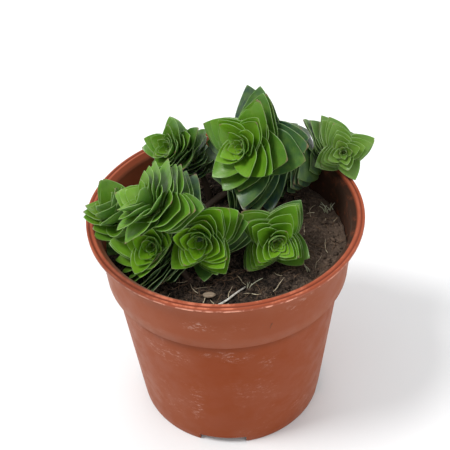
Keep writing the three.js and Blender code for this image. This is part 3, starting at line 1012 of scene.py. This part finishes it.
def make_soil(look):
    """The peat: a fine crumbly top on a plain body that fills the pot"""
    clear = POT.wall + 0.35
    step = POT.shoulder + POT.wall
    usual_draw = 0.35
    profile = [
        (0, SOIL.bottom),
        (POT.foot - clear + SLOPE * SOIL.bottom, SOIL.bottom),
        (POT.body_top - clear, step + 0.3),
        (POT.band_foot - clear, step + 0.9),
        *((radius, SOIL.level) for radius in np.linspace(SOIL.edge, 0.7, SOIL.rings)),
        (0, SOIL.level),
    ]
    points, faces = lathe(profile, SOIL.sides)
    for point in points:
        if point[2] == SOIL.level:
            point[2] = ground(point[0], point[1])
    make_piece("peat", points, faces, look, "soil", {"draw": np.full(len(points), usual_draw)})


def scattered(rng, count, most=44.5):
    """Random places on the soil's surface, up to a radius"""
    radii, angles = most * np.sqrt(rng.random(count)), rng.uniform(0, FULL_TURN, count)
    return np.stack([radii * np.cos(angles), radii * np.sin(angles)], 1)


def clod(rng, size):
    """A small lump of peat: a ball pushed in and out, and flattened"""
    rings, sides = 5, 8
    dented, fine = 0.45, 1.3
    profile = [(math.sin(math.pi * i / rings), -math.cos(math.pi * i / rings)) for i in range(1, rings)]
    points, faces = lathe([(0, -1), *profile, (0, 1)], sides)
    seed = Vector(rng.uniform(0, 50, 3))
    points = np.array([point * (1 + dented * noise.noise(Vector(point) * fine + seed)) for point in points])
    points *= size * np.array([rng.uniform(0.7, 1.3), rng.uniform(0.6, 1), rng.uniform(0.45, 0.8)])
    return spun(points, rng.uniform(0, 360)), faces


def make_crumbs(look, count=2600, largest=1.7):
    """Loose crumbs of peat, most of them small, half sunk in the surface"""
    rng = seeded("crumbs")
    bodies = []
    for x, y in scattered(rng, count):
        size = min(largest, rng.lognormal(-0.7, 0.5))
        points, faces = clod(rng, size)
        draw = np.full(len(points), rng.random())
        bodies.append((points + [x, y, ground(x, y) + 0.15 * size], faces, {"draw": draw}))
    points, faces, values = joined(bodies)
    make_piece("peat_crumbs", points, faces, look, values=values)


def evened(heights, weights):
    """Heights along a strand evened out over their neighbours"""
    return np.convolve(np.pad(heights, len(weights) // 2, mode="edge"), weights, "valid")


def strand(rng, start, heading, length, radius, rise):
    """A thin bent fibre that lies on the soil, with one end free to stand up a little"""
    thickness = np.array([0.6, 1, 1, 0.9, 0.8, 0.6, 0.3])
    steps = len(thickness) - 1
    places = []
    place = np.array(start, float)
    for i in range(steps + 1):
        share = i / steps
        lift = rise * share**2 + radius
        places.append([*place, ground(*place) + lift])
        heading += rng.normal(0, 0.25)
        place = place + np.array([math.cos(heading), math.sin(heading)]) * length / steps
    places = np.array(places)
    places[:, 2] = evened(places[:, 2], [0.25, 0.5, 0.25]) + 0.25
    return tube_body(places, radius * thickness, 5, {"draw": rng.random()})


def make_fibres(name, look, count, length, radius, rise):
    """Fibres strewn over the soil, with their least and greatest length and radius, and most rise"""
    rng = seeded(name)
    bodies = []
    headings, most = (0, 6.28), 43
    for start in scattered(rng, count, most):
        long, heading, thick, lift = (rng.uniform(*span) for span in (length, headings, radius, (0, rise)))
        bodies.append(strand(rng, start, heading, long, thick, lift))
    points, faces, values = joined(bodies)
    make_piece(name, points, faces, look, values=values)


def make_straw(look):
    """The dry straw near the front: a split stalk, a little frayed"""
    low, high = box_of("straw")
    inset, steps, radius, clear = 0.4, 14, 0.36, 0.85
    start, end = low[:2] + inset, high[:2] - inset
    share = np.linspace(0, 1, steps)
    line = start + (end - start) * share[:, None]
    heights = evened([ground(x, y) + clear for x, y in line], [0.1, 0.2, 0.4, 0.2, 0.1])
    places = np.column_stack([line, heights])
    bodies = [tube_body(places, radius * (1 - 0.25 * np.abs(2 * share - 1) ** 3), 10)]
    for offset, reach in ((0.25, 0.75), (-0.2, 0.5)):
        fray = places[2 : int(steps * reach)] + [offset, -offset, 0.1]
        bodies.append(tube_body(fray, np.linspace(0.16, 0.08, len(fray)), 6))
    points, faces, values = joined(bodies)
    make_piece("dry_straw", points, faces, look, "straw", values)


def make_chip(look):
    """The pale chip: a flat splinter of wood with a worn edge"""
    low, high = box_of("chip")
    centre, half = (low + high) / 2, (high - low) / 2
    profile = [(0, -1), (0.5, -0.95), (0.85, -0.6), (1, 0), (0.85, 0.6), (0.5, 0.95), (0, 1)]
    points, faces = lathe(profile, 28)
    wear, fine, inset = 0.12, 2.5, 0.95
    worn = np.array([1 + wear * noise.noise(Vector(point) * fine) for point in points])
    points = points * worn[:, None] * half * inset
    make_piece("wood_chip", points + centre, faces, look, "chip")


def make_seedlings(look):
    """Tiny pale seedlings in a few tufts"""
    rng = seeded("sprouts")
    bodies = []
    sunk, thickest, tip = 0.3, 0.2, 0.04
    share = np.linspace(0, 1, 6)[:, None]
    radii = thickest * (1.05 - share[:, 0]) + tip
    for x, y, count in SEEDLINGS:
        for _ in range(count):
            lean = rng.normal(0, 0.35, 2)
            height = rng.uniform(2.5, 6)
            spot = np.array([x, y]) + rng.normal(0, 0.5, 2)
            line = spot + lean * height * share**2
            places = np.concatenate([line, ground(*spot) - sunk + height * share], 1)
            bodies.append(tube_body(places, radii, 5, {"draw": 0.9}))
    points, faces, values = joined(bodies)
    make_piece("seedlings", points, faces, look, values=values)


# Camera, floor and light


def make_camera():
    """The camera: aimed at its target from the front and above, then turned by its yaw, pitch and roll"""
    up = np.array([0, 0, 1.0])
    turn = math.radians(CAMERA.elevation)
    yaw, pitch, roll = np.radians([CAMERA.yaw, CAMERA.pitch, CAMERA.roll])
    target = np.array(CAMERA.target, float)
    place = target + CAMERA.distance * np.array([0, -math.cos(turn), math.sin(turn)])
    forward = unit(target - place)
    right = unit(np.cross(forward, up))
    above = np.cross(right, forward)
    turned = forward * math.cos(yaw) + right * math.sin(yaw)
    ahead = turned * math.cos(pitch) + above * math.sin(pitch)
    side = unit(np.cross(ahead, up))
    head = np.cross(side, ahead)
    right = side * math.cos(roll) + head * math.sin(roll)
    head = head * math.cos(roll) - side * math.sin(roll)
    lens = bpy.data.cameras.new("camera")
    lens.lens = CAMERA.lens
    lens.sensor_width = CAMERA.sensor
    lens.clip_start, lens.clip_end = 0.01, 10
    camera = placed("camera", lens)
    columns = np.column_stack([right, head, -ahead, (place + AXIS) * MM])
    camera.matrix_world = Matrix([*columns.tolist(), [0, 0, 0, 1]])
    bpy.context.scene.camera = camera


def make_floor(look):
    """A plain pale floor, wide enough to fill the view from every side"""
    half = 4  # metres
    corners = [(-half, -half, 0), (half, -half, 0), (half, half, 0), (-half, half, 0)]
    mesh = bpy.data.meshes.new("floor")
    mesh.from_pydata(corners, [], [(0, 1, 2, 3)])
    mesh.materials.append(look)
    placed("floor", mesh)


def make_light(name, energy, direction, degrees):
    """A broad far lamp that shines at the plant from a direction"""
    lamp = bpy.data.lights.new(name, "SUN")
    lamp.energy = energy
    lamp.angle = math.radians(degrees)
    made = placed(name, lamp)
    away = Vector(direction).normalized()
    made.location = away + Vector(AXIS * MM)
    made.rotation_euler = away.to_track_quat("Z", "Y").to_euler()


def make_world():
    """Even, faintly cool light from all round"""
    world = bpy.data.worlds.new("studio")
    world.use_nodes = True
    plug(world.node_tree.nodes["Background"], {"Color": linear("fafdff"), "Strength": WORLD_STRENGTH})
    bpy.context.scene.world = world


make_camera()
leaf_look, stem_look = leaf_material(), stem_material()
for shoot_name in SHOOTS:
    make_shoot(shoot_name, leaf_look, stem_look)
make_pot(pot_material())
peat_look = peat_material()
make_soil(peat_look)
make_crumbs(peat_look)
brown_look = litter_material("brown_fibre", "4a3525", "7d6046")
make_fibres("peat_fibres", brown_look, 320, (3, 11), (0.07, 0.17), 1.6)
pale_look = litter_material("pale_fibre", "a58f6c", "d8cbae")
make_fibres("pale_fibres", pale_look, 46, (3, 9), (0.08, 0.2), 2.4)
make_straw(litter_material("straw", "a79f92", "e6e2d8"))
make_chip(litter_material("chip", "857260", "a8957c", (2.25, 0.45, 0.9)))
make_seedlings(litter_material("seedling", "b9bd92", "e6e6cc", (0.9, 0.9, 3)))
make_floor(floor_material())
for light_name, settings in LIGHTS.items():
    make_light(light_name, *settings)
make_world()
bpy.context.scene.view_settings.view_transform = "Standard"
